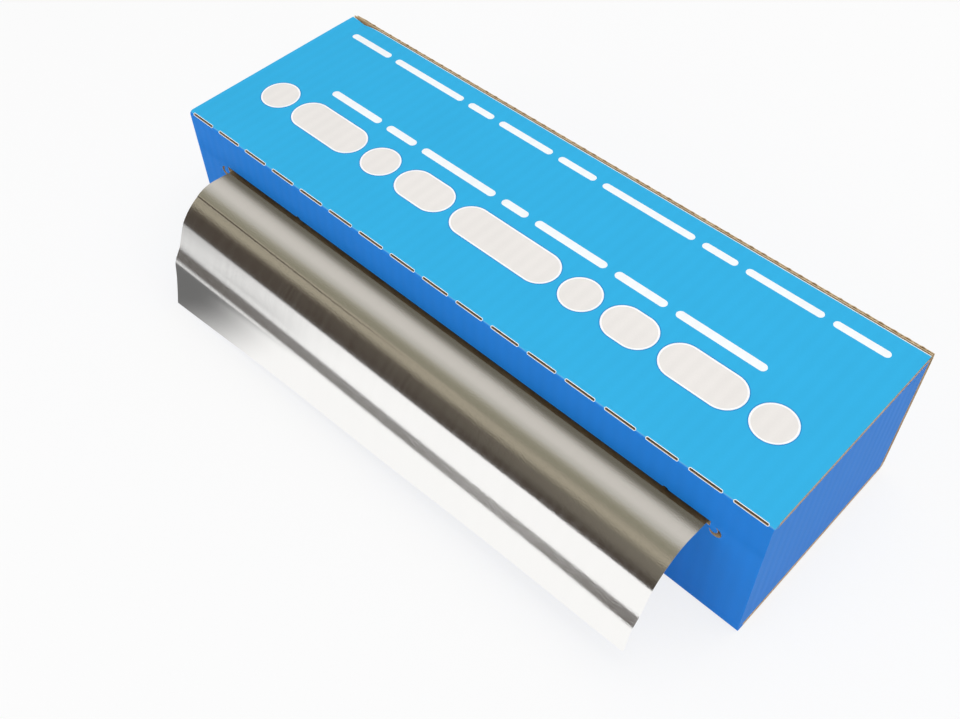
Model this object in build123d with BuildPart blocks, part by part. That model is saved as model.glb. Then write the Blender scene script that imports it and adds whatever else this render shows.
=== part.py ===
from build123d import *
import math
import os

# A roll of catering aluminium foil in its corrugated dispenser carton.
#
# The carton lies with its title panel up.  The roll rests inside it on a cardboard core tube, and the
# foil's free end comes out of a slot in the front wall and hangs down to the surface the carton stands on.
#
# Frame: millimetres, +Z up.  X runs along the carton, -Y is the front with the slot, and the origin is the
# centre of the carton's bottom face.

# ---- driving sizes: corrugated board -------------------------------------------------------------
board = 3.0                  # B-flute board over both liners
liner = 0.35                 # one liner of that board
flute_pitch = 6.3            # from one flute crest to the next
flute_web = 0.45             # fluted paper left between neighbouring flute mouths
flute_mouth_depth = 4.0      # how deep the flutes are open below a raw edge
fold_radius = 2.0            # outside radius of a fold

# ---- driving sizes: roll -------------------------------------------------------------------------
foil_width = 290.0           # width of the foil on the roll
roll_diameter = 72.0
core_diameter = 38.0
core_wall = 2.5
core_overhang = 3.0          # core left bare at each end of the foil
core_fit = 0.05              # radial clearance of the core in the innermost turn
tail_thickness = 0.5         # thickness given to the drawn-out foil

# ---- driving sizes: room around the roll ---------------------------------------------------------
room_above = 4.0             # between the roll and the title panel
room_depth = 33.0            # free depth beside the roll
room_end = 16.0              # from the foil's edge to the inside of the carton's end
end_layers = 3               # end flaps glued one on the other
glue_flap_reach = 9.0        # inturned flap that carries the title panel's glue
seat_gap = 0.1               # between the foil and the board it lies on

# ---- driving sizes: slot, slits and seams --------------------------------------------------------
strip_height = 21.5          # front wall left above the slot
slot_height = 3.0
slot_end_margin = 23.5       # from the carton's end to the slot's end
relief_margin = 20.7         # from the carton's end to the curved relief cut's centre
relief_drop = 3.0            # the relief's centre below the middle of the slot
relief_radius = 2.8
tongue_radius = 1.9          # paper tongue left inside the relief
tongue_shift = 0.95          # the tongue's offset from the relief's centre, inwards and up
nick_width = 2.2             # small steps where the slot's edge was held shut
nick_height = 0.8
nick_margins = (77.0, 45.0)  # from the carton's left and right ends
slit_pitch = 20.0            # through slits that make the front top fold easy
slit_length = 14.8
slit_width = 0.9
slit_margin = 2.0            # least board between the carton's end and the first slit
lid_gap = 0.7                # between the title panel's raw edge and the back wall
seam = 0.4                   # between the outermost end flap and the panels around it

# ---- driving sizes: the drawn-out foil -----------------------------------------------------------
tail_reach = 30.0            # in front of the wall, where the level and the hanging run would meet
tail_rise = 0.8              # rise over the level run
tail_kick = 47.5             # how far in front of the wall the cut edge stands
tail_bow_radius = 22.0       # bow between the two runs
tail_slot_radius = 4.0       # bend at the slot's inner mouth
floor_gap = 0.3              # cut edge above the surface the carton stands on, at its lower left end
cut_rise = 14.0              # how much higher the slanting cut edge is at its right end
cut_run_out = 1.0            # how far the cut runs past the sheet's edges

# ---- sizes that follow ---------------------------------------------------------------------------
roll_radius = roll_diameter / 2
inner_depth = roll_diameter + room_depth
inner_height = roll_diameter + room_above
end_thickness = end_layers * board
carton_length = foil_width + 2 * (room_end + end_thickness)
carton_depth = inner_depth + 2 * board
carton_height = inner_height + 2 * board

front = -carton_depth / 2
inner_front = front + board
back_wall_y = carton_depth / 2 - board / 2
slot_z = carton_height - strip_height - slot_height / 2
slot_length = carton_length - 2 * slot_end_margin
bore_radius = core_diameter / 2 + core_fit

# the roll lies on the bottom panel, drawn against the front wall
roll_y = inner_front + roll_radius + seat_gap
roll_z = board + roll_radius + seat_gap

# the foil rests on the slot's lower lip, and inside it runs up to the roll's outermost turn
tail_z = slot_z - slot_height / 2 + seat_gap + tail_thickness / 2
turn_radius = roll_radius - tail_thickness / 2
slot_distance = math.hypot(inner_front - roll_y, tail_z - roll_z)
slot_bearing = math.atan2(tail_z - roll_z, inner_front - roll_y)
touch_bearing = slot_bearing - math.acos(turn_radius / slot_distance)
touch_y = roll_y + turn_radius * math.cos(touch_bearing)
touch_z = roll_z + turn_radius * math.sin(touch_bearing)


# ---- carton: one die-cut blank of corrugated board, folded and glued at its ends ------------------
with BuildPart() as carton:
    # four walls, folded round three long edges, with a raw edge each side of the gap at the fourth
    with BuildSketch(Plane.YZ):
        Rectangle(carton_depth, carton_height, align=(Align.CENTER, Align.MIN))
        raw_edge = vertices().group_by(Axis.Z)[-1].sort_by(Axis.Y)[-1]
        fillet(vertices() - [raw_edge], radius=fold_radius)
        with Locations((0, board)):
            Rectangle(inner_depth, inner_height, align=(Align.CENTER, Align.MIN), mode=Mode.SUBTRACT)
        with Locations((inner_depth / 2 - lid_gap / 2, carton_height - board / 2)):
            Rectangle(lid_gap, board, mode=Mode.SUBTRACT)
    extrude(amount=carton_length / 2, both=True)

    # the end flaps, glued into one thickness
    with BuildSketch(Plane.XY.offset(board)):
        with GridLocations(carton_length - end_thickness, 1, 2, 1):
            Rectangle(end_thickness, inner_depth)
    extrude(amount=inner_height)

    # the inturned flap at each end that the title panel is glued down to
    with BuildSketch(Plane.XY.offset(carton_height - board)):
        with GridLocations(carton_length - 2 * end_thickness - glue_flap_reach, 1, 2, 1):
            Rectangle(glue_flap_reach, inner_depth)
    extrude(amount=-board)

    # seams round the outermost end flap, along its top, bottom and back edges
    for side in (-1, 1):
        with BuildSketch(Plane.YZ.offset(side * carton_length / 2)):
            with Locations((0, carton_height / 2)):
                with GridLocations(1, inner_height - seam, 1, 2):
                    Rectangle(inner_depth, seam)
            with Locations((inner_depth / 2 - seam / 2, carton_height / 2)):
                Rectangle(seam, inner_height)
        extrude(amount=-side * board, mode=Mode.SUBTRACT)

    # the slot in the front wall, its two steps, and the curved relief cut beside each end
    with BuildSketch(Plane.XZ.offset(-front)):
        with Locations((0, slot_z)):
            Rectangle(slot_length, slot_height)
        left_nick = nick_margins[0] - carton_length / 2
        right_nick = carton_length / 2 - nick_margins[1]
        with Locations((left_nick, slot_z + slot_height / 2), (right_nick, slot_z + slot_height / 2)):
            Rectangle(nick_width, nick_height, align=(Align.CENTER, Align.MIN))
        for side in (-1, 1):
            relief_x = side * (carton_length / 2 - relief_margin)
            with Locations((relief_x, slot_z - relief_drop)):
                Circle(relief_radius)
            with Locations((relief_x - side * tongue_shift, slot_z - relief_drop + tongue_shift)):
                Circle(tongue_radius, mode=Mode.SUBTRACT)
    extrude(amount=-board, mode=Mode.SUBTRACT)

    # through slits along the fold between the front wall and the title panel
    slit_count = 1 + int((carton_length - 2 * slit_margin - slit_length) / slit_pitch)
    with BuildSketch(Plane(origin=(0, front, carton_height), x_dir=(1, 0, 0), z_dir=(0, -1, 1))):
        with GridLocations(slit_pitch, 1, slit_count, 1):
            SlotOverall(slit_length, slit_width)
    extrude(amount=1.5 * board, both=True, mode=Mode.SUBTRACT)

    # flute mouths in the back wall's raw top edge: two rows of wedges, half a pitch apart
    mouth_count = int((carton_length - 2 * board) / flute_pitch)
    mouth_width = flute_pitch - 2 * flute_web
    wave = board - 2 * liner
    slope = math.hypot(mouth_width / 2, wave)
    with BuildSketch(Plane.XY.offset(carton_height)):
        for shift, turn in ((-flute_pitch / 4, 0), (flute_pitch / 4, 180)):
            with Locations((shift, back_wall_y)):
                with GridLocations(flute_pitch, 1, mouth_count, 1):
                    Triangle(a=mouth_width, b=slope, c=slope, rotation=turn)
    extrude(amount=-flute_mouth_depth, mode=Mode.SUBTRACT)

# ---- foil: the roll's turns and the drawn-out end, one continuous sheet ---------------------------
with BuildPart() as foil:
    with BuildSketch(Plane.YZ):
        with BuildLine():
            FilletPolyline(
                (touch_y, touch_z),
                (inner_front, tail_z),
                (front - tail_reach, tail_z + tail_rise),
                (front - tail_kick, floor_gap),
                radius=[tail_slot_radius, tail_bow_radius],
            )
        trace(line_width=tail_thickness)
        with Locations((roll_y, roll_z)):
            Circle(roll_radius)
            Circle(bore_radius, mode=Mode.SUBTRACT)
    extrude(amount=foil_width / 2, both=True)

    # the slanting cut across the drawn-out end
    cut_end = foil_width / 2 + cut_run_out
    with BuildSketch(Plane.XZ.offset(tail_reach - front)):
        with BuildLine():
            Polyline(
                (-cut_end, floor_gap),
                (cut_end, floor_gap + cut_rise),
                (cut_end, -cut_run_out),
                (-cut_end, -cut_run_out),
                close=True,
            )
        make_face()
    extrude(amount=tail_kick, mode=Mode.SUBTRACT)

# ---- core tube: spiral-wound cardboard in the middle of the roll ---------------------------------
with BuildPart() as core_tube:
    with BuildSketch(Plane.YZ):
        with Locations((roll_y, roll_z)):
            Circle(core_diameter / 2)
            Circle(core_diameter / 2 - core_wall, mode=Mode.SUBTRACT)
    extrude(amount=foil_width / 2 + core_overhang, both=True)

os.makedirs("parts", exist_ok=True)
for name, piece in (("carton", carton), ("foil", foil), ("core_tube", core_tube)):
    piece.part.label = name
    export_step(piece.part, f"parts/{name}.step")
    print(name, "volume", round(piece.part.volume / 1000, 1), "cm3, box", piece.part.bounding_box())
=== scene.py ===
# %% [markdown]
# # A catering roll of aluminium foil in its corrugated dispenser carton
#
# The CAD frame holds three parts: a carton folded from one blank of corrugated board, the foil (the
# roll's turns and the drawn-out end in one sheet) and the cardboard core tube. This lesson gives them
# their finish: printed board with open flutes, thin foil that really bends, and a studio to see it in.
# Everything is in metres, in the frame's own axes: +X along the carton, -Y the slotted front, +Z up.

# %% Load the frame
import math
import bmesh
import bpy
import numpy as np
from mathutils import Matrix, Vector, noise


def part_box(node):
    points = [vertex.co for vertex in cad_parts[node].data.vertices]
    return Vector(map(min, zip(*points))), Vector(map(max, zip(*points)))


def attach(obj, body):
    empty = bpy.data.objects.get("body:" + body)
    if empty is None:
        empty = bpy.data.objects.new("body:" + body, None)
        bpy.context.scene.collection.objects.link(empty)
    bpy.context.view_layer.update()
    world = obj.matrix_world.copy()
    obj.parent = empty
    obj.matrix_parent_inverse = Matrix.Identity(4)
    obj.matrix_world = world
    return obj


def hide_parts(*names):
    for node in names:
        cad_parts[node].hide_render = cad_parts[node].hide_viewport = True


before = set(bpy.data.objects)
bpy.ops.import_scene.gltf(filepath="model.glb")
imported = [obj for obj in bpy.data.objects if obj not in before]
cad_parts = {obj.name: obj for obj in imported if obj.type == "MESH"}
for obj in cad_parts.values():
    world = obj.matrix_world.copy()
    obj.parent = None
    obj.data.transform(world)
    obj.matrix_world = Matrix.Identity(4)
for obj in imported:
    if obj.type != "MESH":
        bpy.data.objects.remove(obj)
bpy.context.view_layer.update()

mm = 0.001

# %% [markdown]
# ## Sizes that the pieces share
#
# The outside sizes are read from the frame, so the pieces follow the CAD. What the frame can't tell,
# such as the thickness of the board's paper layers, is named here in millimetres.

# %% Shared sizes
carton_low, carton_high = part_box("carton")
foil_low, foil_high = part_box("foil")
core_low, core_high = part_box("core_tube")

length, depth, height = (carton_high - carton_low)[:]
front = carton_low.y
board = 3.0 * mm                 # B-flute board over both liners
liner = 0.35 * mm                # one paper liner
flute_pitch = 6.3 * mm           # crest to crest
end_thickness = 3 * board        # three end flaps glued on each other
fold_radius = 2.0 * mm

strip_height = 21.5 * mm         # front wall left above the slot
slot_height = 3.0 * mm
slot_z = height - strip_height - slot_height / 2
slot_length = length - 2 * 23.5 * mm
slit_pitch = 20.0 * mm           # through slits along the front top fold
slit_length = 14.8 * mm
slit_width = 0.9 * mm
lid_gap = 0.7 * mm               # between the title panel's raw edge and the back wall
seam = 0.4 * mm                  # round the outermost end flap

print("carton", [round(v / mm, 1) for v in (length, depth, height)], "mm")


# %% [markdown]
# ## Helpers
#
# An operator works on whatever is selected, so each step starts with nothing selected and then picks
# faces, edges or points by where they are. Colours are written as sRGB hex values, the way a paint
# chart gives them, and one function turns them to the linear values that shaders count in.

# %% Helpers for modelling
def select_only(piece):
    """Leave this one object selected and active."""
    bpy.ops.object.select_all(action="DESELECT")
    piece.select_set(True)
    bpy.context.view_layer.objects.active = piece


def pick(piece, kind, test):
    """Open the piece in edit mode with only the faces, edges or points selected that pass the test."""
    select_only(piece)
    bpy.ops.object.mode_set(mode="EDIT")
    bpy.ops.mesh.select_mode(type=kind)
    bpy.ops.mesh.select_all(action="DESELECT")
    shape = bmesh.from_edit_mesh(piece.data)
    items = {"FACE": shape.faces, "EDGE": shape.edges, "VERT": shape.verts}[kind]
    chosen = [item for item in items if test(item)]
    for item in chosen:
        item.select_set(True)
    shape.select_flush_mode()
    bmesh.update_edit_mesh(piece.data)
    return len(chosen)


def close_edit():
    """Go back to object mode."""
    bpy.ops.object.mode_set(mode="OBJECT")


def block(name, low, high):
    """A cuboid between two corners, with its place in its mesh."""
    low, high = Vector(low), Vector(high)
    bpy.ops.object.select_all(action="DESELECT")
    bpy.ops.mesh.primitive_cube_add(size=1, location=(low + high) / 2, scale=high - low)
    bpy.ops.object.transform_apply(location=True, rotation=True, scale=True)
    bpy.context.object.name = name
    return bpy.context.object


def finish_with(piece, kind, **settings):
    """Add a modifier, set it and apply it."""
    select_only(piece)
    modifier = piece.modifiers.new(kind.lower(), kind)
    for setting, value in settings.items():
        setattr(modifier, setting, value)
    bpy.ops.object.modifier_apply(modifier=modifier.name)


def join(pieces):
    """Make several objects one, and return it."""
    select_only(pieces[0])
    for piece in pieces[1:]:
        piece.select_set(True)
    bpy.ops.object.join()
    return bpy.context.object


def middle(item):
    """The middle of a bmesh face or edge."""
    return sum((v.co for v in item.verts), Vector()) / len(item.verts)


print("helpers ready")


# %% Helpers for materials
def linear(code):
    """Turn an sRGB hex colour into linear RGBA."""
    parts = [int(code[i:i + 2], 16) / 255 for i in (1, 3, 5)]
    return [p / 12.92 if p <= 0.04045 else ((p + 0.055) / 1.055) ** 2.4 for p in parts] + [1.0]


def add(tree, kind, inputs=None, **settings):
    """Add a node with its settings, and give its inputs values or links from other nodes or sockets."""
    made = tree.nodes.new(kind)
    for setting, value in settings.items():
        setattr(made, setting, value)
    for key, value in (inputs or {}).items():
        if isinstance(key, int):
            socket = made.inputs[key]
        else:
            socket = next(s for s in made.inputs if s.enabled and s.name == key)
        if isinstance(value, bpy.types.Node):
            value = next(s for s in value.outputs if s.enabled)
        if isinstance(value, bpy.types.NodeSocket):
            tree.links.new(value, socket)
        else:
            socket.default_value = value
    return made


def new_material(name):
    """An empty node material and its tree."""
    material = bpy.data.materials.new(name)
    material.use_nodes = True
    material.node_tree.nodes.clear()
    return material, material.node_tree


print("white is", [round(v, 3) for v in linear("#FFFFFF")])

# %% [markdown]
# ## Camera
#
# The camera comes first, because it decides what has to look right from where. It stands high over the
# front right corner and is rolled about a degree, as a hand holds a camera.

# %% Camera
bpy.ops.object.select_all(action="DESELECT")
bpy.ops.object.camera_add(
    location=(0.23776, -0.26409, 0.42259),
    rotation=(math.radians(38.9501), math.radians(1.1289), math.radians(44.0146)),
)
camera = bpy.context.object
camera.name = "camera"
camera.data.sensor_width = 36.0
camera.data.lens = 41.52
camera.data.clip_start = 0.01
bpy.context.scene.camera = camera
print("camera", camera.name, "lens", camera.data.lens)

# %% [markdown]
# ## Floor
#
# A sheet of white paper would do in a studio. Here the floor is a plane that is plain white paper for
# the light, and partly glows for the camera and for mirror rays, so that it looks white and still keeps
# the soft shadow of the carton. For mirror rays alone its glow carries painted shade: it greys towards
# the left, and a soft round patch of painted shade lies at the left foot of the foil, which the foil mirrors.

# %% Floor
bpy.ops.object.select_all(action="DESELECT")
bpy.ops.mesh.primitive_plane_add(size=6.0, location=(0, 0, -0.2 * mm))
floor = bpy.context.object
floor.name = "studio_floor"

paper, tree = new_material("white_studio_paper")
rays = add(tree, "ShaderNodeLightPath")
place = add(tree, "ShaderNodeTexCoord").outputs["Object"]
split = add(tree, "ShaderNodeSeparateXYZ", {"Vector": place})
# painted shade for mirror rays: the floor they see greys towards the left
painted_shade_leftward = add(tree, "ShaderNodeMapRange", {
    "Value": split.outputs["X"], "From Min": -0.42, "From Max": -0.10, "To Min": 0.42, "To Max": 1.0,
}, interpolation_type="SMOOTHSTEP")
# painted shade for mirror rays: a soft round patch of shade at the left foot of the foil
foot = add(tree, "ShaderNodeVectorMath", {0: place, 1: (-0.165, -0.125, 0.0)}, operation="DISTANCE")
painted_shade_pool = add(tree, "ShaderNodeMapRange", {
    "Value": foot.outputs["Value"], "From Min": 0.02, "From Max": 0.085, "To Min": 0.16, "To Max": 1.0,
}, interpolation_type="SMOOTHSTEP")
# the floor colour that mirror rays see, carrying both patches of painted shade
glossy_floor_painted_shade = add(tree, "ShaderNodeMath", {0: painted_shade_leftward, 1: painted_shade_pool}, operation="MINIMUM")
glow = add(tree, "ShaderNodeMix", {
    "Factor": rays.outputs["Is Glossy Ray"], "A": (1, 1, 1, 1), "B": glossy_floor_painted_shade,
}, data_type="RGBA")
shaded = add(tree, "ShaderNodeBsdfDiffuse", {"Color": linear("#F4F4F4")})
glowing = add(tree, "ShaderNodeEmission", {"Color": glow, "Strength": 1.0})
half = add(tree, "ShaderNodeMixShader", {0: 0.80, 1: shaded, 2: glowing})
seen = add(tree, "ShaderNodeMath", {
    0: rays.outputs["Is Camera Ray"], 1: rays.outputs["Is Transmission Ray"],
}, operation="MAXIMUM")
chosen = add(tree, "ShaderNodeMixShader", {0: seen, 1: shaded, 2: half})
chosen = add(tree, "ShaderNodeMixShader", {0: rays.outputs["Is Glossy Ray"], 1: chosen, 2: glowing})
add(tree, "ShaderNodeOutputMaterial", {"Surface": chosen})
floor.data.materials.append(paper)
print("floor", tuple(round(v, 2) for v in floor.dimensions))

# %% [markdown]
# ## Light and surroundings
#
# Foil has no colour of its own: it shows the room. So the room is painted on the world as long strips
# that run along X, as a wall, a ceiling and a worktop would. Low in front it is dark brown, then comes
# an olive strip, then a grey ceiling. The camera sees white there, and other surfaces get plain grey
# light. One large soft lamp stands above and a little behind, and its own image is kept off the foil.

# %% World
world = bpy.data.worlds.new("studio_room")
bpy.context.scene.world = world
world.use_nodes = True
tree = world.node_tree
tree.nodes.clear()
rays = add(tree, "ShaderNodeLightPath")
direction = add(tree, "ShaderNodeTexCoord").outputs["Generated"]
split = add(tree, "ShaderNodeSeparateXYZ", {"Vector": direction})
forward = add(tree, "ShaderNodeMath", {0: split.outputs["Y"], 1: -1.0}, operation="MULTIPLY")
climb = add(tree, "ShaderNodeMath", {0: split.outputs["Z"], 1: forward}, operation="ARCTAN2")
turn = add(tree, "ShaderNodeMath", {0: climb, 1: math.pi}, operation="DIVIDE")

# each strip's angle above the front horizon, in degrees, and its colour
strips = (
    (0, "#3E342C"), (40, "#40372F"), (47, "#A39B88"), (56, "#A49C8A"), (61, "#7F7B6B"),
    (70, "#86826F"), (78, "#9C988A"), (90, "#B4B1A9"), (110, "#C6C2BC"), (135, "#CCC9C4"), (180, "#CFCDC9"),
)
room = add(tree, "ShaderNodeValToRGB", {"Fac": turn})
ramp = room.color_ramp
while len(ramp.elements) < len(strips):
    ramp.elements.new(1.0)
for element, (angle, code) in zip(ramp.elements, strips):
    element.position = angle / 180
    element.color = linear(code)

# the upper part of the dark strip fades to grey away from its left end
fade = add(tree, "ShaderNodeMapRange", {
    "Value": split.outputs["X"], "From Min": -0.52, "From Max": -0.22, "To Min": 0.0, "To Max": 1.0,
}, interpolation_type="SMOOTHSTEP")
raised = add(tree, "ShaderNodeMapRange", {
    "Value": turn, "From Min": 12 / 180, "From Max": 26 / 180, "To Min": 0.0, "To Max": 1.0,
}, interpolation_type="SMOOTHSTEP")
fade = add(tree, "ShaderNodeMath", {0: fade, 1: raised}, operation="MULTIPLY")
fade_colour = add(tree, "ShaderNodeMix", {
    "Factor": fade, "A": (0, 0, 0, 1), "B": linear("#7B7569"),
}, data_type="RGBA")
room = add(tree, "ShaderNodeMix", {
    "Factor": 1.0, "A": room.outputs["Color"], "B": fade_colour,
}, data_type="RGBA", blend_type="LIGHTEN")

plain = add(tree, "ShaderNodeBackground", {"Color": linear("#FFFFFF"), "Strength": 0.55})
white = add(tree, "ShaderNodeBackground", {"Color": linear("#FFFFFF"), "Strength": 1.0})
around = add(tree, "ShaderNodeBackground", {"Color": room, "Strength": 1.0})
chosen = add(tree, "ShaderNodeMixShader", {0: rays.outputs["Is Glossy Ray"], 1: plain, 2: around})
seen = add(tree, "ShaderNodeMath", {
    0: rays.outputs["Is Camera Ray"], 1: rays.outputs["Is Transmission Ray"],
}, operation="MAXIMUM")
chosen = add(tree, "ShaderNodeMixShader", {0: seen, 1: chosen, 2: white})
add(tree, "ShaderNodeOutputWorld", {"Surface": chosen})
print("room strips", len(strips))

# %% Lamp
bpy.ops.object.select_all(action="DESELECT")
bpy.ops.object.light_add(type="AREA", location=(0.35, 0.30, 1.45))
lamp = bpy.context.object
lamp.name = "soft_box"
lamp.data.shape = "SQUARE"
lamp.data.size = 1.2
lamp.data.energy = 10.5
lamp.rotation_euler = (Vector((0, 0, 0)) - lamp.location).to_track_quat("-Z", "Y").to_euler()
lamp.visible_glossy = False

bpy.ops.object.light_add(type="AREA", location=(-0.45, -1.35, 0.55))
fill = bpy.context.object
fill.name = "front_fill"
fill.data.shape = "SQUARE"
fill.data.size = 1.0
fill.data.energy = 5.0
fill.rotation_euler = (Vector((0, 0, 0)) - fill.location).to_track_quat("-Z", "Y").to_euler()
fill.visible_glossy = False
bpy.context.scene.view_settings.view_transform = "Standard"
print("lamps", lamp.data.energy, "W above,", fill.data.energy, "W in front")

# %% [markdown]
# The level foil just outside the slot would mirror the blue wall above it. A slim grey card stands in
# front of that wall, seen only by mirror rays, as a photographer would hold one. It is no lamp, yet it
# glows as a painted reflection, and its glow darkens towards the slot as painted shade.

# %% Glowing card: a painted reflection
card_gap = 0.5 * mm
card = block(
    "glowing_card",
    (carton_low.x, front - 2 * card_gap, slot_z),
    (carton_high.x, front - card_gap, height + 20 * mm),
)
for ray in ("camera", "diffuse", "transmission", "volume_scatter", "shadow"):
    setattr(card, "visible_" + ray, False)
grey, tree = new_material("card_glow_painted_reflection")
place = add(tree, "ShaderNodeTexCoord").outputs["Object"]
split = add(tree, "ShaderNodeSeparateXYZ", {"Vector": place})
# painted shade: the card's glow darkens towards the slot, so the foil just outside it mirrors a dark strip
rise = add(tree, "ShaderNodeMapRange", {
    "Value": split.outputs["Z"], "From Min": slot_z + 2 * mm, "From Max": slot_z + 10 * mm,
}, interpolation_type="SMOOTHSTEP")
shade = add(tree, "ShaderNodeMix", {
    "Factor": rise, "A": linear("#67645A"), "B": linear("#C9C5BF"),
}, data_type="RGBA")
# the card glows though it is no lamp: a painted reflection for mirror rays
glowing = add(tree, "ShaderNodeEmission", {"Color": shade, "Strength": 1.0})
add(tree, "ShaderNodeOutputMaterial", {"Surface": glowing})
card.data.materials.append(grey)
print("card", [round(v / mm, 1) for v in card.dimensions])

# %% [markdown]
# ## Finish: printed liner
#
# The outer liner is white-top kraft paper, printed by flexography: a rubber plate lays one flat blue
# over the whole blank. The walls and ends take a deeper blue than the title panel's lighter, greener one:
# partly a second ink, and partly painted shade that darkens the walls. The ink is thin and matt, so the
# eye sees the paper's fibre, and light and dark bands where the flutes under it hold the paper up or let
# it sag. Where the slits are punched, the ink chips off and a white rim shows.
#
# The title panel carries white print. On this part it is a row of plain pills and discs with two lines
# of small bars, and no lettering. Each shape is a distance from the middle line of a round-ended bar,
# worked out from Object coordinates in millimetres, so its edge stays crisp at any size.

# %% Printed liner
title_band = (-27.1, -7.5)       # front and back edge of the row of pills, mm
title_lengths = (17.6, 44, 17.6, 30, 58, 17.6, 24, 38, 17.6)
title_left, title_right = -155.4, 152.6
small_lines = (
    (2.0, -129.0, 127.0, 4.2, (34, 19, 46, 15, 40, 27, 44)),
    (40.7, -157.4, 158.5, 3.8, (28, 47, 16, 33, 22, 51, 18, 38, 26)),
)


def spread(lengths, left, right):
    """Spread bars of these lengths evenly between two ends: a list of (middle, length)."""
    gap = (right - left - sum(lengths)) / (len(lengths) - 1)
    bars, start = [], left
    for bar in lengths:
        bars.append((start + bar / 2, bar))
        start += bar + gap
    return bars


def round_bars(tree, x, y, line, width, bars):
    """How far outside the nearest of a line of round-ended bars a point is, in mm."""
    nearest = 1000.0
    for centre, bar in bars:
        off = add(tree, "ShaderNodeMath", {0: x, 1: centre}, operation="SUBTRACT")
        off = add(tree, "ShaderNodeMath", {0: off}, operation="ABSOLUTE")
        off = add(tree, "ShaderNodeMath", {0: off, 1: (bar - width) / 2}, operation="SUBTRACT")
        nearest = add(tree, "ShaderNodeMath", {0: nearest, 1: off}, operation="MINIMUM")
    along = add(tree, "ShaderNodeMath", {0: nearest, 1: 0.0}, operation="MAXIMUM")
    across = add(tree, "ShaderNodeMath", {0: y, 1: line}, operation="SUBTRACT")
    pair = add(tree, "ShaderNodeCombineXYZ", {"X": along, "Y": across})
    away = add(tree, "ShaderNodeVectorMath", {0: pair}, operation="LENGTH")
    return add(tree, "ShaderNodeMath", {0: away.outputs["Value"], 1: width / 2}, operation="SUBTRACT")


def paint(tree, under, over, where):
    """Lay one colour over another where a mask is 1."""
    return add(tree, "ShaderNodeMix", {"Factor": where, "A": under, "B": over}, data_type="RGBA")


def below(tree, value, limit, within=None):
    """1 where a value is under a limit, and within another mask if one is given."""
    mask = add(tree, "ShaderNodeMath", {0: value, 1: limit}, operation="LESS_THAN")
    if within is not None:
        mask = add(tree, "ShaderNodeMath", {0: mask, 1: within}, operation="MULTIPLY")
    return mask


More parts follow.
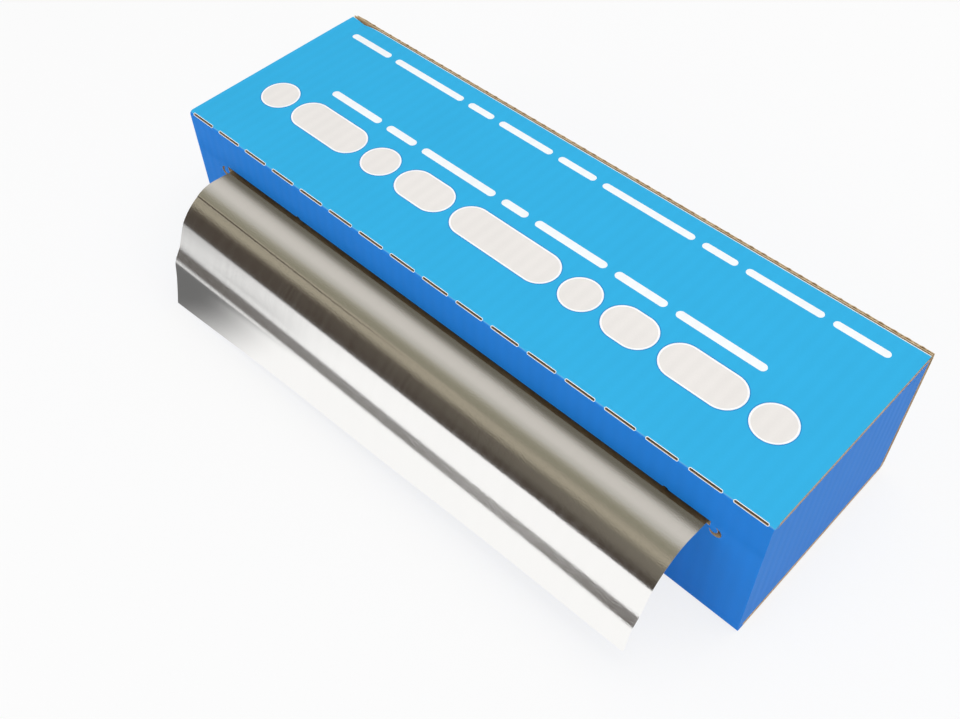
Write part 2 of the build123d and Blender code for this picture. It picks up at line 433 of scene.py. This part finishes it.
def printed_liner(name, flutes_along):
    """Flexo-printed white-top liner over flutes that repeat along the given axis."""
    material, tree = new_material(name)
    place = add(tree, "ShaderNodeTexCoord").outputs["Object"]
    scaled = add(tree, "ShaderNodeVectorMath", {0: place, "Scale": 1 / mm}, operation="SCALE")
    split = add(tree, "ShaderNodeSeparateXYZ", {"Vector": scaled})
    x, y, z = split.outputs["X"], split.outputs["Y"], split.outputs["Z"]

    # across the front top fold: 0 on the fold, more on the title panel, less on the front wall
    forward = add(tree, "ShaderNodeMath", {0: y, 1: (height - front) / mm}, operation="SUBTRACT")
    fold = add(tree, "ShaderNodeMath", {0: forward, 1: z}, operation="ADD")
    fold = add(tree, "ShaderNodeMath", {0: y, 1: -front / mm}, operation="ADD")
    drop = add(tree, "ShaderNodeMath", {0: height / mm, 1: z}, operation="SUBTRACT")
    fold = add(tree, "ShaderNodeMath", {0: fold, 1: drop}, operation="SUBTRACT")
    fold = add(tree, "ShaderNodeMath", {0: fold, 1: math.sqrt(2)}, operation="DIVIDE")
    on_panel = add(tree, "ShaderNodeMath", {0: fold, 1: 0.0}, operation="GREATER_THAN")
    high = add(tree, "ShaderNodeMath", {0: z, 1: height / mm - 2.0}, operation="GREATER_THAN")
    on_panel = add(tree, "ShaderNodeMath", {0: on_panel, 1: high}, operation="MULTIPLY")

    # the ink is a little uneven, and thinner where the paper sags between two flutes
    cloud = add(tree, "ShaderNodeTexNoise", {"Vector": scaled, "Scale": 0.035, "Detail": 3.0})
    fibre = add(tree, "ShaderNodeTexNoise", {"Vector": scaled, "Scale": 1.6, "Detail": 4.0})
    across = {"X": x, "Y": y}[flutes_along]
    wave = add(tree, "ShaderNodeMath", {0: across, 1: 2 * math.pi / (flute_pitch / mm)}, operation="MULTIPLY")
    wave = add(tree, "ShaderNodeMath", {0: wave}, operation="SINE")
    tone = add(tree, "ShaderNodeMath", {0: wave, 1: 0.012, 2: 0.94}, operation="MULTIPLY_ADD")
    tone = add(tree, "ShaderNodeMath", {0: cloud.outputs["Fac"], 1: 0.07, 2: tone}, operation="MULTIPLY_ADD")
    tone = add(tree, "ShaderNodeMath", {0: fibre.outputs["Fac"], 1: 0.05, 2: tone}, operation="MULTIPLY_ADD")

    # the title panel a lighter, greener blue than the walls; the walls' deeper blue is partly painted shade
    colour = paint(tree, linear("#1A84E4"), linear("#32B2E6"), on_panel)

    # the white print: a darker keyline, a white rim and an off-white fill
    title = round_bars(
        tree, x, y, sum(title_band) / 2, title_band[1] - title_band[0] - 2.0,
        spread(title_lengths, title_left, title_right),
    )
    colour = paint(tree, colour, linear("#2A92D2"), below(tree, title, 1.4, on_panel))
    colour = paint(tree, colour, linear("#FFFFFF"), below(tree, title, 0.9, on_panel))
    colour = paint(tree, colour, linear("#EDE9E5"), below(tree, title, 0.1, on_panel))
    for line, left, right, width, lengths in small_lines:
        bars = round_bars(tree, x, y, line, width, spread(lengths, left, right))
        colour = paint(tree, colour, linear("#F7FBFD"), below(tree, bars, 0.0, on_panel))

    # white rims round the punched slits, the paler line pressed into the fold between them, and the
    # white cut edge at the back of the title panel
    along = add(tree, "ShaderNodeMath", {0: x, 1: slit_pitch / mm / 2}, operation="PINGPONG")
    along = add(tree, "ShaderNodeMath", {0: along, 1: (slit_length - slit_width) / mm / 2}, operation="SUBTRACT")
    along = add(tree, "ShaderNodeMath", {0: along, 1: 0.0}, operation="MAXIMUM")
    pair = add(tree, "ShaderNodeCombineXYZ", {"X": along, "Y": fold})
    slit = add(tree, "ShaderNodeVectorMath", {0: pair}, operation="LENGTH").outputs["Value"]
    off_fold = add(tree, "ShaderNodeMath", {0: fold}, operation="ABSOLUTE")
    line = below(tree, off_fold, 0.3, high)
    line = add(tree, "ShaderNodeMath", {0: line, 1: 0.35}, operation="MULTIPLY")
    colour = paint(tree, colour, linear("#7FC4E8"), line)
    colour = paint(tree, colour, linear("#F4F8FA"), below(tree, slit, slit_width / mm / 2 + 0.28, high))
    back_rim = add(tree, "ShaderNodeMath", {
        0: y, 1: (depth / 2 - board - lid_gap) / mm - 0.4,
    }, operation="GREATER_THAN")
    back_rim = add(tree, "ShaderNodeMath", {0: back_rim, 1: high}, operation="MULTIPLY")
    colour = paint(tree, colour, linear("#E4EEF2"), back_rim)

    toned = add(tree, "ShaderNodeVectorMath", {0: colour, "Scale": tone}, operation="SCALE")

    relief = add(tree, "ShaderNodeMath", {0: wave, 1: 0.06, 2: 0.0}, operation="MULTIPLY_ADD")
    relief = add(tree, "ShaderNodeMath", {0: fibre.outputs["Fac"], 1: 0.03, 2: relief}, operation="MULTIPLY_ADD")
    bump = add(tree, "ShaderNodeBump", {"Height": relief, "Distance": mm, "Strength": 0.6})
    shader = add(tree, "ShaderNodeBsdfPrincipled", {
        "Base Color": toned, "Roughness": 0.6, "IOR": 1.5, "Specular IOR Level": 0.15, "Normal": bump,
    })
    add(tree, "ShaderNodeOutputMaterial", {"Surface": shader})
    return material


printed_wall = printed_liner("printed_white_top_liner", "X")
printed_end = printed_liner("printed_white_top_liner_end_flap", "Y")
print("nodes in the printed liner", len(printed_wall.node_tree.nodes))


# %% [markdown]
# ## Finish: kraft board
#
# Inside, and on most cut edges, the board is unbleached kraft paper: long wood fibres, light brown and
# quite matt, with darker and lighter shreds. The fluted medium between the liners is made of recycled
# fibre and is a shade darker and greyer. Where a steel rule has punched through the board, at the slot and
# the slits, the cut faces get a kraft painted almost black: painted shade for the dark inside of these narrow cuts.

# %% Kraft
def kraft(name, pale, dark):
    """Unbleached paper with short fibres about a millimetre long."""
    material, tree = new_material(name)
    place = add(tree, "ShaderNodeTexCoord").outputs["Object"]
    stretched = add(tree, "ShaderNodeMapping", {"Vector": place, "Scale": (0.3, 1.0, 1.0)})
    fibre = add(tree, "ShaderNodeTexNoise", {"Vector": stretched, "Scale": 1.4 / mm, "Detail": 4.0})
    cloud = add(tree, "ShaderNodeTexNoise", {"Vector": place, "Scale": 0.08 / mm, "Detail": 2.0})
    tone = add(tree, "ShaderNodeMath", {
        0: fibre.outputs["Fac"], 1: 0.7, 2: 0.0,
    }, operation="MULTIPLY_ADD")
    tone = add(tree, "ShaderNodeMath", {0: cloud.outputs["Fac"], 1: 0.3, 2: tone}, operation="MULTIPLY_ADD")
    spread_out = add(tree, "ShaderNodeMapRange", {"Value": tone, "From Min": 0.35, "From Max": 0.65})
    colour = paint(tree, linear(dark), linear(pale), spread_out)
    bump = add(tree, "ShaderNodeBump", {"Height": fibre.outputs["Fac"], "Distance": 0.05 * mm, "Strength": 0.7})
    shader = add(tree, "ShaderNodeBsdfPrincipled", {
        "Base Color": colour, "Roughness": 0.85, "Specular IOR Level": 0.3, "Normal": bump,
    })
    add(tree, "ShaderNodeOutputMaterial", {"Surface": shader})
    return material


kraft_liner = kraft("kraft_liner", "#E6D2B0", "#C4A982")
fluted_medium = kraft("recycled_fluting_medium", "#D2B790", "#A68A64")
# painted shade: kraft painted almost black for the cut faces inside the slot and the slits
painted_shade_cut_edge = kraft("kraft_cut_edge_painted_shade", "#2E2720", "#191511")
print("kraft", kraft_liner.name, fluted_medium.name, painted_shade_cut_edge.name)

# %% [markdown]
# ## Carton
#
# The real carton is one die-cut blank, creased, folded and glued. It could be modelled as flat panels,
# but a block with its folds bevelled and then hollowed out, as one closed shell, keeps the walls at
# their true thickness and lets every punched slit be a real hole. Cutters are made at their place, then
# taken away one after another. Each cutter wears the kraft, so what it cuts shows bare board; at the slot,
# its nicks, the relief cuts and the slits, the cut faces get kraft painted almost black as shade.

# %% Block with three folded edges
carton = block("carton_box", carton_low, carton_high)
carton.data.materials.append(printed_wall)
carton.data.materials.append(kraft_liner)
carton.data.materials.append(printed_end)
carton.data.materials.append(painted_shade_cut_edge)


def is_fold(edge):
    """The long edges, but not the raw one at the back of the top."""
    along_x = abs(edge.verts[0].co.x - edge.verts[1].co.x) > length / 2
    spot = middle(edge)
    return along_x and not (spot.y > 0 and spot.z > height / 2)


folds = pick(carton, "EDGE", is_fold)
bpy.ops.mesh.bevel(offset=fold_radius, offset_type="OFFSET", segments=5, affect="EDGES")
close_edit()
print("folds", folds, "faces", len(carton.data.polygons))


# %% Cutters for the room inside, the gap at the title panel and the flutes
# cut faces at the slot, its nicks, the relief cuts and the slits get the kraft painted almost black as shade
bare, painted_shade_index = 1, 3             # the carton's material slots for bare board and for punched edges


def cut(body, cutter, finish=bare):
    """Take the cutter away from the body, and give the cut one of the carton's finishes."""
    while len(cutter.data.materials) <= painted_shade_index:
        cutter.data.materials.append(kraft_liner)
    for face in cutter.data.polygons:
        face.material_index = finish
    finish_with(body, "BOOLEAN", operation="DIFFERENCE", object=cutter, solver="EXACT")
    bpy.data.objects.remove(cutter)


half_length = length / 2
inner_y = depth / 2 - board
inner_top = height - board
glue_reach = 9 * mm
reach = 1 * mm                   # how far a cutter runs past the surface it opens
groove = 1.2 * mm                # how deep the fluting lies behind a raw end edge
flute_depth = 10 * mm            # how deep the flutes are modelled at the back wall's top

cut(carton, block("room", (-half_length + end_thickness + glue_reach, -inner_y, board),
                  (half_length - end_thickness - glue_reach, inner_y, inner_top)))
for side in (-1, 1):
    ends = sorted((side * (half_length - end_thickness - glue_reach - reach),
                   side * (half_length - end_thickness)))
    cut(carton, block("room_end", (ends[0], -inner_y, board), (ends[1], inner_y, inner_top - board)))
cut(carton, block("lid_gap", (-half_length - reach, inner_y - lid_gap, inner_top - reach),
                  (half_length + reach, inner_y, height + reach)))
cut(carton, block("flute_room", (-half_length - reach, inner_y + liner, height - flute_depth),
                  (half_length + reach, depth / 2 - liner, height + reach)))
cut(carton, block("frayed_liner", (-half_length - reach, depth / 2 - liner - 0.05 * mm, height - 1.1 * mm),
                  (half_length + reach, depth / 2 + reach, height + reach)))
for side in (-1, 1):
    ends = sorted((side * (half_length - groove), side * (half_length + reach)))
    cut(carton, block("panel_edge", (ends[0], front + 2 * fold_radius, inner_top + liner),
                      (ends[1], inner_y - lid_gap + reach / 2, height - liner)))
    cut(carton, block("bottom_edge", (ends[0], front + 2 * fold_radius, liner),
                      (ends[1], inner_y, board - liner)))
    cut(carton, block("back_edge", (ends[0], inner_y + liner, 2 * fold_radius),
                      (ends[1], depth / 2 - liner, height - flute_depth / 2)))
    outer = sorted((side * (half_length - board), side * (half_length + reach)))
    for low_z in (board, inner_top - seam):
        cut(carton, block("seam", (outer[0], -inner_y, low_z), (outer[1], inner_y, low_z + seam)))
    cut(carton, block("seam", (outer[0], inner_y - seam, board), (outer[1], inner_y, inner_top)))
print("carton faces", len(carton.data.polygons))


# %% Slot, steps, relief cuts and slits
def pin(name, centre, radius, axis_y_length):
    """A round cutter whose axis runs along Y."""
    bpy.ops.object.select_all(action="DESELECT")
    bpy.ops.mesh.primitive_cylinder_add(
        vertices=40, radius=radius, depth=axis_y_length, location=centre, rotation=(math.pi / 2, 0, 0),
    )
    bpy.ops.object.transform_apply(location=True, rotation=True, scale=True)
    bpy.context.object.name = name
    return bpy.context.object


wall_y = (front - reach, front + board + reach)
cut(carton, block("slot", (-slot_length / 2, wall_y[0], slot_z - slot_height / 2),
                  (slot_length / 2, wall_y[1], slot_z + slot_height / 2)), painted_shade_index)
nick_width, nick_height = 2.2 * mm, 0.8 * mm
for nick_x in (-half_length + 77 * mm, half_length - 45 * mm):
    nick = block("nick", (nick_x - nick_width / 2, wall_y[0], slot_z),
                 (nick_x + nick_width / 2, wall_y[1], slot_z + slot_height / 2 + nick_height))
    cut(carton, nick, painted_shade_index)

relief_radius, tongue_radius, tongue_shift = 2.8 * mm, 1.9 * mm, 0.95 * mm
relief_z = slot_z - 3.0 * mm
for side in (-1, 1):
    relief_x = side * (half_length - 20.7 * mm)
    relief = pin("relief", (relief_x, front + board / 2, relief_z), relief_radius, 2 * board)
    tongue = pin("tongue", (relief_x - side * tongue_shift, front + board / 2, relief_z + tongue_shift),
                 tongue_radius, 3 * board)
    cut(relief, tongue, painted_shade_index)
    cut(carton, relief, painted_shade_index)

slits = []
slit_count = 17
for i in range(slit_count):
    slit_x = (i - (slit_count - 1) / 2) * slit_pitch
    slit = block("slit", (slit_x - slit_length / 2, -1.5 * board, -slit_width / 2),
                 (slit_x + slit_length / 2, 1.5 * board, slit_width / 2))
    pick(slit, "EDGE", lambda e: abs(e.verts[0].co.y - e.verts[1].co.y) > board)
    bpy.ops.mesh.bevel(offset=0.48 * slit_width, segments=4, affect="EDGES")
    bpy.ops.mesh.select_all(action="SELECT")
    bpy.ops.transform.rotate(value=math.radians(45), orient_axis="X", center_override=(slit_x, 0, 0))
    bpy.ops.transform.translate(value=(0, front, height))
    close_edit()
    slits.append(slit)
cut(carton, join(slits), painted_shade_index)
print("carton faces", len(carton.data.polygons))

# %% Bare board on the raw edges, and the end flaps' own print
for face in carton.data.polygons:
    spot = face.center
    on_end = abs(face.normal.x) > 0.9 and abs(spot.x) > half_length - 0.1 * mm
    on_top = face.normal.z > 0.9 and spot.z > height - 0.1 * mm
    if on_end:
        raw = spot.z > inner_top or spot.z < board or spot.y > inner_y
        face.material_index = 1 if raw else 2
    elif on_top and spot.y > inner_y:
        face.material_index = 1
print("bare faces", sum(face.material_index == 1 for face in carton.data.polygons))

# %% [markdown]
# ## The knocked corner
#
# The back left corner of the carton has been knocked: the title panel's raw edge is pushed forward and
# down, a faint crease runs forward from it, and the back wall's top edge bulges out. The back wall's raw
# edge is also thinner than the board, because the cutting die has pressed it. Flat panels have no points
# to move there, so planes first cut fine strips, and smooth functions then move their points, the same
# for the top and the underside of the board.

# %% Knock the corner
dent_x, dent_y = -half_length + 9 * mm, inner_y - lid_gap
strip_lines = [dent_x + step * mm for step in (-7, -5, -3.5, -2.2, -1, 0, 1, 2.2, 3.5, 5, 7, 10, 14, 19)]
row_lines = [dent_y - step * mm for step in (1.5, 3.5, 6, 9, 13, 18, 24, 31, 39, 48)]
for plane_x in strip_lines:
    pick(carton, "FACE", lambda f: True)
    bpy.ops.mesh.bisect(plane_co=(plane_x, 0, 0), plane_no=(1, 0, 0))
    close_edit()
for plane_y in row_lines:
    pick(carton, "FACE", lambda f: middle(f).x < dent_x + 25 * mm and middle(f).z > inner_top - mm)
    bpy.ops.mesh.bisect(plane_co=(0, plane_y, 0), plane_no=(0, 1, 0))
    close_edit()
press_height = 8 * mm            # the pressed part of the back wall's raw edge
press_depth = 1.05 * mm          # how much thinner the board is at the very edge
for drop in (8, 6, 4.5, 3, 1.5):
    pick(carton, "FACE", lambda f: middle(f).y > inner_y - 0.2 * mm)
    bpy.ops.mesh.bisect(plane_co=(0, 0, height - drop * mm), plane_no=(0, 0, 1))
    close_edit()


def bell(offset, width):
    """1 in the middle, smoothly down to almost nothing at the width."""
    return math.exp(-(offset / width) ** 2 * 3)


def pressed(z):
    """How far the die has pressed the outer liner inwards at this height."""
    return press_depth * max(0.0, (z - height + press_height) / press_height) ** 2


for point in carton.data.vertices:
    if point.co.y > depth / 2 - liner - 0.1 * mm:
        point.co.y -= pressed(point.co.z)

for point in carton.data.vertices:
    place = point.co
    if place.x > dent_x + 25 * mm or place.z < height - 12 * mm or place.y < 0:
        continue
    sideways = place.x - dent_x
    if place.y < inner_y - lid_gap / 2 and place.z > inner_top - 0.1 * mm:
        back = dent_y - place.y
        crease = bell(sideways, 5 * mm) * max(0.0, 1 - back / (52 * mm)) ** 2
        edge = bell(sideways, 13 * mm) * bell(back, 14 * mm)
        point.co.z -= 0.5 * mm * crease + 0.5 * mm * edge
        point.co.y -= 0.55 * mm * edge
    elif place.y > inner_y - 0.1 * mm:
        rise = max(0.0, (place.z - height + 12 * mm) / (12 * mm)) ** 2
        point.co.y += 0.55 * mm * bell(sideways, 10 * mm) * rise
        point.co.z -= 0.35 * mm * bell(sideways - 2 * mm, 6 * mm) * rise
select_only(carton)
bpy.ops.object.shade_smooth_by_angle(angle=math.radians(28))
finish_with(carton, "WEIGHTED_NORMAL", keep_sharp=True)
print("carton faces", len(carton.data.polygons))

# %% [markdown]
# ## Open flutes at the back edge
#
# Along the back wall's raw top edge the fluted paper shows between the two liners as a wave, and the
# tubes it makes look like a row of small dark mouths. Drawing the wave as a pattern would be flat from
# the side, so a ribbon is added upright, its points are moved along a sine, and Solidify gives it the
# paper's thickness. Real fluting is a little uneven where the knife has pressed it.

# %% Fluted medium
wave_count = int((length - 2 * groove) / flute_pitch)
steps_per_wave = 12
medium_thickness = 0.42 * mm     # the cut fibres splay, so it looks thicker than the paper
ribbon_length = wave_count * flute_pitch
bpy.ops.object.select_all(action="DESELECT")
bpy.ops.mesh.primitive_grid_add(
    x_subdivisions=wave_count * steps_per_wave, y_subdivisions=3, size=1, rotation=(math.pi / 2, 0, 0),
)
flutes = bpy.context.object
flutes.name = "back_edge_flutes"
flutes.scale = (ribbon_length, flute_depth - 0.4 * mm, 1)
bpy.ops.object.transform_apply(location=True, rotation=True, scale=True)
swing = board / 2 - liner - medium_thickness / 2
for point in flutes.data.vertices:
    x, z = point.co.x, point.co.z
    share = z / (flute_depth - 0.4 * mm) + 0.5
    uneven = noise.noise(Vector((x / (9 * mm), 0.0, 3.7)))
    press = noise.noise(Vector((x / (4 * mm), 5.1, 0.0))) * share
    phase = 2 * math.pi * x / flute_pitch + 0.5 * uneven + 0.5 * press
    rise = 0.12 * mm * noise.noise(Vector((x / (3 * mm), 0.0, 9.0))) * share
    bulge = 0.5 * mm * bell(x - dent_x, 10 * mm) * share ** 2
    squeeze = pressed(point.co.z + height - flute_depth / 2) / 2
    point.co.y = depth / 2 - board / 2 - squeeze + (swing - squeeze) * math.sin(phase) + bulge
    point.co.z = height - flute_depth / 2 - 0.1 * mm + z + rise - 0.4 * mm * bell(x - dent_x, 6 * mm) * share
finish_with(flutes, "SOLIDIFY", thickness=medium_thickness, offset=0)
select_only(flutes)
bpy.ops.object.shade_smooth_by_angle(angle=math.radians(50))
flutes.data.materials.clear()
flutes.data.materials.append(fluted_medium)
print("waves", wave_count, "triangles", 2 * len(flutes.data.polygons))

# %% [markdown]
# ## Drawn-out foil
#
# Foil bends in one direction at a time: it can roll, but it can't bulge like cloth. So its shape is a
# profile in Y and Z carried along X. The profile is written as the slope of the sheet at points along
# its length, in degrees from level, and adding the small steps up gives the curve. The sheet starts as
# a flat grid cut to size, with one grid row every 0.4 mm, and each row is carried to its place.
# Slopes that wander a degree or two along X make the bands in its shine waver, and a steep short step
# in the slope makes a crease.

# %% Foil profile
foil_width = foil_high.x - foil_low.x
foil_thickness = 0.06 * mm
roll_radius = 36.0 * mm
roll_y = (core_low.y + core_high.y) / 2
roll_z = (core_low.z + core_high.z) / 2
touch = (-36.3 * mm, 68.75 * mm) # where the sheet leaves the roll
run_in = 22.6 * mm               # from there to the front of the slot
run_out = 85.3 * mm              # from the slot to the cut edge at its left end
cut_slant = 14.5 * mm            # how much shorter the sheet is at its right end, where the cut slants
sheet_length = run_in + run_out

# distance from the front of the slot in mm, and slope in degrees: positive falls away to the front
slopes = (
    (-22.6, 37), (-9, 38), (-6.6, 36), (-4.4, 14), (-2.8, 1), (0, -3), (5, -4), (10, -4),
    (13.5, 6), (18, 22), (22, 29), (26, 36), (30, 43.5), (34, 50), (36.4, 55), (37.8, 65), (42, 67),
    (47, 68.5), (50, 64), (52, 56), (56, 55), (58, 64), (60, 78), (63, 82), (70, 78), (85.3, 75),
)


def slope_at(s, x):
    """Slope of the sheet in degrees, s mm from the slot and x mm along it."""
    right = (x + 145) / 290
    earlier = 1.6 * right * np.clip(s / 30, 0, 1)
    base = np.interp(s + earlier, [p[0] for p in slopes], [p[1] for p in slopes])
    outside = np.clip(s / 12, 0, 1)
    drift = 0.8 * np.sin(x / 61 + s / 33) + 0.45 * np.sin(x / 23 + 1.7 + s / 19)
    crease = 20 * np.clip(1.15 - 1.6 * right, 0, 1) * np.exp(-((s - 21.6 + 0.2 * np.sin(x / 37)) / 0.42) ** 2)
    lines = 5 * np.clip(2.5 * right - 0.4, 0, 1) * np.sin(s * 4.6) * np.exp(-((s - 59.5) / 2.2) ** 2)
    return base + drift * outside + crease + lines


rows = int(round(sheet_length / (0.4 * mm)))
columns = int(round(foil_width / (2.9 * mm)))
bpy.ops.object.select_all(action="DESELECT")
bpy.ops.mesh.primitive_grid_add(x_subdivisions=columns, y_subdivisions=rows, size=1)
sheet = bpy.context.object
sheet.name = "foil_sheet"
sheet.scale = (foil_width, sheet_length, 1)
bpy.ops.object.transform_apply(location=True, rotation=True, scale=True)

flat = np.array([p.co[:] for p in sheet.data.vertices])
xs = np.unique(flat[:, 0].round(7))
lengths = sheet_length - cut_slant * (xs - xs[0]) / foil_width
step = (lengths / rows)[:, None]
grid_s = -run_in + step * np.arange(rows + 1)
slope = np.radians(slope_at(grid_s / mm, xs[:, None] / mm))
between = (slope[:, 1:] + slope[:, :-1]) / 2
start = np.zeros((len(xs), 1))
path_y = touch[0] - np.concatenate([start, np.cumsum(np.cos(between) * step, 1)], 1)
path_z = touch[1] - np.concatenate([start, np.cumsum(np.sin(between) * step, 1)], 1)
column = np.searchsorted(xs, flat[:, 0].round(7) - 1e-6)
row = np.rint((0.5 - flat[:, 1] / sheet_length) * rows).astype(int)
slot_row = int(round(run_in / (sheet_length / rows)))
print("at the slot", (path_y[:, slot_row] / mm).mean().round(2), (path_z[:, slot_row] / mm).mean().round(2))
print("cut edge", (path_y[:, -1] / mm).mean().round(2), (path_z[:, -1] / mm).min().round(2),
      (path_z[:, -1] / mm).max().round(2))

# %% Carry the flat grid to its place
shaped = np.stack([flat[:, 0], path_y[column, row], path_z[column, row]], 1)
sheet.data.vertices.foreach_set("co", shaped.ravel())
sheet.data.update()
finish_with(sheet, "SOLIDIFY", thickness=foil_thickness, offset=0)
select_only(sheet)
bpy.ops.object.shade_smooth_by_angle(angle=math.radians(60))
print("foil faces", len(sheet.data.polygons))

# %% [markdown]
# ## Finish: rolled aluminium foil
#
# Household foil is aluminium 1xxx or 8xxx, rolled until it is about 14 micrometres thick. The rolls
# leave fine lines along its length, so a mirror image in it is blurred sideways much more than along
# the lines: that is anisotropy. Close up, the soft metal has a fine grain that sparkles where light and
# dark meet. The real grain is a few hundredths of a millimetre; here it is drawn at about 0.4 mm so
# that it shows. The metal is warm grey and keeps the default IOR.

# %% Foil material
foil_metal, tree = new_material("rolled_aluminium_foil")
place = add(tree, "ShaderNodeTexCoord").outputs["Object"]
grain = add(tree, "ShaderNodeTexNoise", {"Vector": place, "Scale": 1 / (0.6 * mm), "Detail": 1.0})
streak_place = add(tree, "ShaderNodeMapping", {"Vector": place, "Scale": (1.0, 0.02, 0.02)})
streak = add(tree, "ShaderNodeTexNoise", {"Vector": streak_place, "Scale": 1 / (1.5 * mm), "Detail": 3.0})
bump = add(tree, "ShaderNodeBump", {"Height": grain.outputs["Fac"], "Distance": 0.05 * mm, "Strength": 1.0})
tangent = add(tree, "ShaderNodeTangent", direction_type="UV_MAP")
rough = add(tree, "ShaderNodeMapRange", {
    "Value": streak.outputs["Fac"], "From Min": 0.3, "From Max": 0.7, "To Min": 0.2, "To Max": 0.27,
})
shader = add(tree, "ShaderNodeBsdfPrincipled", {
    "Base Color": linear("#FBFAF8"), "Metallic": 1.0, "Roughness": rough, "Anisotropic": 0.8,
    "Normal": bump, "Tangent": tangent,
})
add(tree, "ShaderNodeOutputMaterial", {"Surface": shader})
sheet.data.materials.clear()
sheet.data.materials.append(foil_metal)
print("foil material", foil_metal.name)

# %% [markdown]
# ## The roll's turns
#
# The turns of foil behind the slot are one tight roll. It starts as a cylinder on its side; its end
# faces are inset down to the core and removed, and the two holes are bridged, so that it becomes a
# thick tube. Its ends show the edges of hundreds of turns as very fine rings.

# %% Roll
bpy.ops.object.select_all(action="DESELECT")
bpy.ops.mesh.primitive_cylinder_add(
    vertices=128, radius=roll_radius, depth=foil_width, location=(0, roll_y, roll_z),
    rotation=(0, math.pi / 2, 0),
)
bpy.ops.object.transform_apply(location=True, rotation=True, scale=True)
roll = bpy.context.object
roll.name = "foil_roll"
bore_radius = (core_high.z - core_low.z) / 2 + 0.05 * mm
pick(roll, "FACE", lambda f: len(f.verts) > 4)
bpy.ops.mesh.inset(thickness=roll_radius - bore_radius)
bpy.ops.mesh.delete(type="FACE")
close_edit()
pick(roll, "EDGE", lambda e: e.is_boundary)
bpy.ops.mesh.bridge_edge_loops()
bpy.ops.mesh.select_all(action="SELECT")
bpy.ops.mesh.normals_make_consistent(inside=False)
close_edit()
select_only(roll)
bpy.ops.object.shade_smooth_by_angle(angle=math.radians(30))

roll_metal, tree = new_material("wound_aluminium_foil")
place = add(tree, "ShaderNodeTexCoord").outputs["Object"]
about = add(tree, "ShaderNodeMapping", {"Vector": place, "Location": (0, -roll_y, -roll_z)})
split = add(tree, "ShaderNodeSeparateXYZ", {"Vector": about})
ring = add(tree, "ShaderNodeCombineXYZ", {"X": split.outputs["Y"], "Y": split.outputs["Z"]})
radius = add(tree, "ShaderNodeVectorMath", {0: ring}, operation="LENGTH").outputs["Value"]
turn = add(tree, "ShaderNodeTexNoise", {"W": radius, "Scale": 1 / (0.5 * mm), "Detail": 3.0}, noise_dimensions="1D")
rough = add(tree, "ShaderNodeMapRange", {
    "Value": turn.outputs["Fac"], "From Min": 0.3, "From Max": 0.7, "To Min": 0.25, "To Max": 0.5,
})
bump = add(tree, "ShaderNodeBump", {"Height": turn.outputs["Fac"], "Distance": 0.1 * mm, "Strength": 0.6})
shader = add(tree, "ShaderNodeBsdfPrincipled", {
    "Base Color": linear("#EFEDEA"), "Metallic": 1.0, "Roughness": rough, "Normal": bump,
})
add(tree, "ShaderNodeOutputMaterial", {"Surface": shader})
roll.data.materials.clear()
roll.data.materials.append(roll_metal)
print("roll faces", len(roll.data.polygons))

# %% [markdown]
# ## Core tube
#
# The core is grey-brown chipboard wound in a spiral, so a faint butt line climbs round it. The CAD
# tube's shape is right, and it only gets this finish.

# %% Core tube finish
core_board, tree = new_material("spiral_wound_chipboard")
place = add(tree, "ShaderNodeTexCoord").outputs["Object"]
about = add(tree, "ShaderNodeMapping", {"Vector": place, "Location": (0, -roll_y, -roll_z)})
split = add(tree, "ShaderNodeSeparateXYZ", {"Vector": about})
around = add(tree, "ShaderNodeMath", {0: split.outputs["Z"], 1: split.outputs["Y"]}, operation="ARCTAN2")
spiral_pitch = 75 * mm
around = add(tree, "ShaderNodeMath", {0: around, 1: spiral_pitch / (2 * math.pi)}, operation="MULTIPLY")
climb = add(tree, "ShaderNodeMath", {0: split.outputs["X"], 1: around}, operation="ADD")
butt = add(tree, "ShaderNodeMath", {0: climb, 1: spiral_pitch / 2}, operation="PINGPONG")
butt = add(tree, "ShaderNodeMath", {0: butt, 1: 0.4 * mm}, operation="LESS_THAN")
fibre = add(tree, "ShaderNodeTexNoise", {"Vector": place, "Scale": 1.1 / mm, "Detail": 4.0})
colour = paint(tree, linear("#9A7F60"), linear("#B89C7A"), fibre.outputs["Fac"])
colour = paint(tree, colour, linear("#6F5A42"), butt)
bump = add(tree, "ShaderNodeBump", {"Height": fibre.outputs["Fac"], "Distance": 0.06 * mm, "Strength": 0.7})
shader = add(tree, "ShaderNodeBsdfPrincipled", {"Base Color": colour, "Roughness": 0.85, "Normal": bump})
add(tree, "ShaderNodeOutputMaterial", {"Surface": shader})
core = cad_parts["core_tube"]
core.data.materials.clear()
core.data.materials.append(core_board)
print("core", core.name)

# %% [markdown]
# ## Hand the pieces to the frame
#
# Each piece rides on the frame's one body, and the CAD part that it stands for is hidden.

# %% Ride and replace
for piece, node, slot in (
    (carton, "carton", "corrugated_board"),
    (flutes, "carton", "corrugated_board"),
    (sheet, "foil", "aluminium_foil"),
    (roll, "foil", "aluminium_foil"),
):
    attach(piece, "root")
    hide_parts(node)
